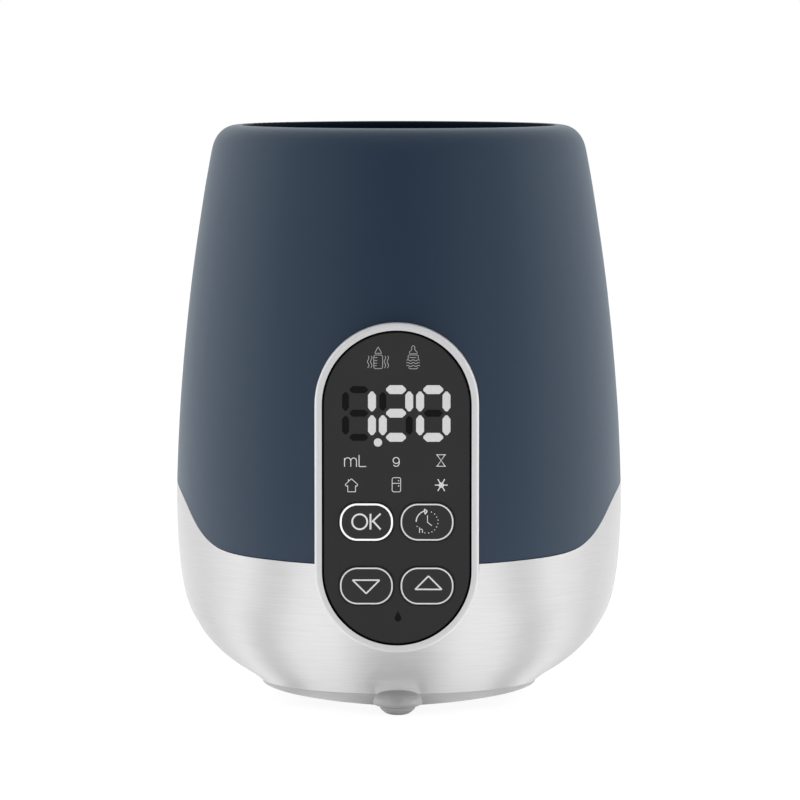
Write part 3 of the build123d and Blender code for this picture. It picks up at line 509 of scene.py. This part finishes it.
# Clock: an arc that ends in an arrowhead, two hands over a small h, and a dotted rim
TIP, HEAD_TOP, HEAD_LOW = (8.62, 61.12), (7.80, 61.72), (8.02, 60.24)
key_mark("timer_key", "arc", [
    line(*arc(8.63, 58.10, radius=3.14, start=180, end=102, steps=16)),
    line(TIP, HEAD_TOP), line(TIP, HEAD_LOW), line(HEAD_TOP, HEAD_LOW),
], width=0.32, finish="print_mid")
key_mark("timer_key", "hands", [
    line((8.68, 59.97), (8.68, 57.98), (9.90, 57.00)),
    line((6.43, 56.50), (6.43, 54.98)),
    line((6.43, 55.65), *arc(6.86, 55.62, 0.42, 165, 0, 8), (7.28, 54.98)),
], width=0.22, finish="print_mid")
CLOCK_DOTS = [      # x, z
    (9.80, 60.87), (10.70, 60.31), (11.28, 59.45), (11.66, 58.60), (11.62, 57.60), (11.26, 56.65),
    (10.70, 55.82), (9.93, 55.27), (9.02, 54.96), (7.95, 54.97), (5.76, 56.81)]
studs("timer_key_dots", CLOCK_DOTS, 0.15, KEY_Y, mats["print_grey"], "timer_key_body")

ARROWS = {
    "down_key": [(-12.45, 41.55), (-4.85, 41.55), (-8.62, 37.75)],
    "up_key": [(8.95, 42.72), (5.22, 38.95), (12.72, 38.95)],
}
for key, corners in ARROWS.items():
    key_mark(key, "arrow", [round_corners(corners, cut=0.22)], width=0.46, finish="print_grey")

# Bottle with a pointed top, four level lines and two upright waves on each side
ICON_WIDTH = 0.19
lens_mark("icon_steam_bottle", [
    round_corners([(-5.23, 107.55), (-6.22, 105.68), (-4.24, 105.68)], cut=0.25),
    rounded(-5.22, 103.30, width=2.50, height=3.84, radius=0.55, steps=6),
    *[line((-6.47, z), (end, z))
      for z, end in ((104.50, -5.45), (103.66, -5.50), (102.90, -5.50), (102.18, -5.65))],
    *[wave(104.95, 101.55, x, swing=0.20, periods=1.6, upright=True)
      for x in (-8.03, -7.18, -3.32, -2.50)],
], ICON_WIDTH, "print_dim")

# Bottle with a teat over three level waves
TEAT_X = 4.65
HALF_TEAT = [       # distance from TEAT_X, z
    (0.98, 105.62), (1.12, 105.95), (0.98, 106.20), (0.62, 106.45),
    (0.42, 106.80), (0.46, 107.15), (0.44, 107.48), (0.27, 107.76)]
teat = [(TEAT_X - dx, z) for dx, z in HALF_TEAT]
teat += [(TEAT_X, 107.86)]
teat += [(TEAT_X + dx, z) for dx, z in reversed(HALF_TEAT)]
lens_mark("icon_water_bottle", [
    (teat, True),
    line(*arc(3.64, 104.82, 0.42, 180, 90, 6), *arc(5.66, 104.82, 0.42, 90, 0, 6),
         (6.08, 104.15)),
    line((3.22, 104.82), (3.22, 104.15)),
    line((3.6, 104.5), (5.5, 104.5)),
    *[wave(2.75, 6.50, z, swing=0.17, periods=2.5) for z in (103.72, 102.94, 102.14)],
    line(*arc(3.9, 101.95, 0.6, 200, 270, 5), *arc(5.4, 101.95, 0.6, 270, 340, 5)),
], ICON_WIDTH, "print_dim")

# The letters ml and g
lens_mark("mark_ml", [
    line((-14.72, 73.62), (-14.72, 76.05)),
    line((-14.72, 75.30), *arc(-13.83, 75.32, 0.87, 172, 0, 10), (-12.94, 73.62)),
    line((-12.94, 75.30), *arc(-12.14, 75.32, 0.79, 172, 0, 10), (-11.35, 73.62)),
    round_corners([(-10.62, 76.95), (-10.62, 73.70), (-8.60, 73.70)], cut=0.15, closed=False),
], width=0.25)
lens_mark("mark_g", [
    ring(-0.16, 75.42, radius=0.86, steps=28),
    line(*arc(-0.16, 74.62, 0.86, 0, -150, 12)),
    line((0.70, 75.42), (0.70, 74.62)),
], width=0.25)

lens_mark("mark_hourglass", [
    line((11.15, 77.05), (13.85, 77.05)),
    line((11.15, 73.80), (13.85, 73.80)),
    line((11.40, 77.0), (12.50, 75.42), (13.60, 77.0)),
    line((11.40, 73.85), (12.50, 75.42), (13.60, 73.85)),
], width=0.22)

HOUSE = [           # x, z
    (-12.79, 70.25), (-14.55, 68.55), (-14.10, 68.10), (-13.80, 68.30), (-13.80, 66.55),
    (-11.62, 66.55), (-11.62, 68.30), (-11.30, 68.10), (-10.95, 68.55)]
lens_mark("mark_house", [
    round_corners(HOUSE, cut=0.12, steps=3),
    line((-13.62, 69.45), (-13.62, 70.10)),
], width=0.21)

lens_mark("mark_fridge", [
    rounded(-0.09, 68.55, width=2.40, height=4.02, radius=0.5, steps=6),
    line((-1.29, 68.95), (1.11, 68.95)),
], width=0.20)
studs("mark_fridge_handles", [(0.53, 69.70), (0.53, 68.20)], 0.17, LENS_Y, mats["print_mid"],
      HOUSING)

# Six-armed star with a small ring round its middle
STAR_X, STAR_Z = 12.56, 68.47
star = []
for degrees, reach in ((0, 1.80), (60, 1.95), (120, 1.95)):
    dx = reach * math.cos(math.radians(degrees))
    dz = reach * math.sin(math.radians(degrees))
    star.append(line((STAR_X - dx, STAR_Z - dz), (STAR_X + dx, STAR_Z + dz)))
star.append(ring(STAR_X, STAR_Z, radius=0.62, steps=12))
lens_mark("mark_star", star, width=0.30)


# ---------------------------------------------------------------------------
# Stage: floor, world, lights, camera
# ---------------------------------------------------------------------------
def floor_paper():
    """Near-white to the camera; to other rays it glows by the angle from the camera side."""
    m = Mat("floor_paper")
    angle = m.math("ABSOLUTE", m.azimuth(m.axes(m.place)))
    camera_ray = m.add("ShaderNodeLightPath").outputs["Is Camera Ray"]
    side = m.ease(angle, to=(0.0, 1.0), span=(0.05, 0.50))      # 0 in the wedge at the front
    shade = m.spread(side, to=(0.78, 0.95), span=(0.0, 1.0))
    shaded = m.add("ShaderNodeCombineColor", {"Red": shade, "Green": shade, "Blue": shade})
    plain = m.tint(m.noise(30.0, detail=3.0), grey(0.16), grey(0.17))
    # the glow dips in a band at each side and fades to the rear
    from_band = m.math("ABSOLUTE", m.math("SUBTRACT", angle, 1.02))
    band = m.ease(from_band, to=(0.28, 1.0), span=(0.0, 0.34))
    rear = m.ease(angle, to=(1.0, 0.22), span=(1.16, 2.0))
    bounce = m.product(m.spread(side, to=(0.17, 0.62), span=(0.0, 1.0)), band, rear)
    to_camera = m.product(camera_ray, 0.90)
    to_object = m.product(m.flip(camera_ray), bounce)
    return m.surface(
        Base_Color=m.mix(camera_ray, shaded.outputs["Color"], plain),
        Emission_Strength=m.math("ADD", to_camera, to_object),
        Emission_Color=grey(1), Roughness=0.75, Specular_IOR_Level=0.0)


def make_floor():
    bm = bmesh.new()
    bmesh.ops.create_grid(bm, x_segments=8, y_segments=8, size=4.0)
    mesh = bpy.data.meshes.new("floor")
    bm.to_mesh(mesh)
    bm.free()
    floor = bpy.data.objects.new("floor", mesh)
    bpy.context.scene.collection.objects.link(floor)
    mesh.materials.append(floor_paper())


FRONT_DARK = 0.22       # level behind the camera, as a share of the room's
BACK_DARK = 0.62        # level behind the object, as a share of the room's
GAP_DEPTH = 0.55        # how far the level drops in the gap at each side
TOP_LEVEL = 0.72
ROOM = 1.25
DEGREES = 57.2958       # in one radian


def make_world():
    """White to the camera, a room of bright and dark panels to all other rays."""
    world = bpy.data.worlds.new("studio")
    bpy.context.scene.world = world
    world.use_nodes = True
    w = Graph(world.node_tree)
    output = w.add("ShaderNodeOutputWorld")
    axes = w.axes(w.add("ShaderNodeTexCoord").outputs["Generated"])
    # degrees from the camera side: 0 is behind the camera, 180 behind the object
    angle = w.product(w.math("ABSOLUTE", w.azimuth(axes)), DEGREES)
    front = w.ease(angle, to=(FRONT_DARK, 1.0), span=(14.0, 48.0))
    from_gap = w.math("ABSOLUTE", w.math("SUBTRACT", angle, 66.0))
    gap = w.flip(w.product(w.ease(from_gap, to=(1.0, 0.0), span=(0.0, 22.0)), GAP_DEPTH))
    back = w.ease(angle, to=(1.0, BACK_DARK), span=(96.0, 140.0))
    over = w.ease(axes["Z"], to=(0.0, 1.0), span=(0.25, 0.85))
    sides = w.product(front, gap, back, ROOM)
    level = w.math("ADD", w.product(sides, w.flip(over)), w.product(over, TOP_LEVEL))
    camera_ray = w.add("ShaderNodeLightPath").outputs["Is Camera Ray"]
    seen = w.math("ADD", w.product(level, w.flip(camera_ray)), camera_ray)
    background = w.add("ShaderNodeBackground", {"Strength": seen, "Color": grey(1)})
    w.feed(output.inputs[0], background.outputs[0])


def around(azimuth, distance, height):
    """Place at an azimuth in radians, measured from -Y towards +X."""
    return distance * math.sin(azimuth), -distance * math.cos(azimuth), height


def softbox(name, degrees):
    light = bpy.data.lights.new(name, "AREA")
    light.shape = "RECTANGLE"
    light.size = 0.9
    light.size_y = 1.4
    light.energy = 9.0
    box = bpy.data.objects.new(name, light)
    bpy.context.scene.collection.objects.link(box)
    box.location = around(math.radians(degrees), distance=1.3, height=0.45)
    aim = Vector((0, 0, 0.09)) - box.location
    box.rotation_euler = aim.to_track_quat("-Z", "Y").to_euler()
    box.visible_camera = False
    box.visible_glossy = False


def make_camera():
    azimuth, pitch_down = math.radians(0.56), 4.16
    lens = bpy.data.cameras.new("camera")
    camera = bpy.data.objects.new("camera", lens)
    bpy.context.scene.collection.objects.link(camera)
    camera.location = around(azimuth, distance=1.637, height=0.2068)
    camera.rotation_euler = (math.radians(90 - pitch_down), 0, azimuth)
    lens.sensor_width = 36.0
    lens.lens = 251.64
    lens.shift_x = 0.00125
    lens.clip_start = 0.1
    lens.clip_end = 20.0
    bpy.context.scene.camera = camera


make_floor()
make_world()
softbox("left_soft", degrees=-96)
softbox("right_soft", degrees=96)
make_camera()

view = bpy.context.scene.view_settings
view.view_transform = "Standard"
view.look = "None"
view.exposure = 0.0
view.gamma = 1.0
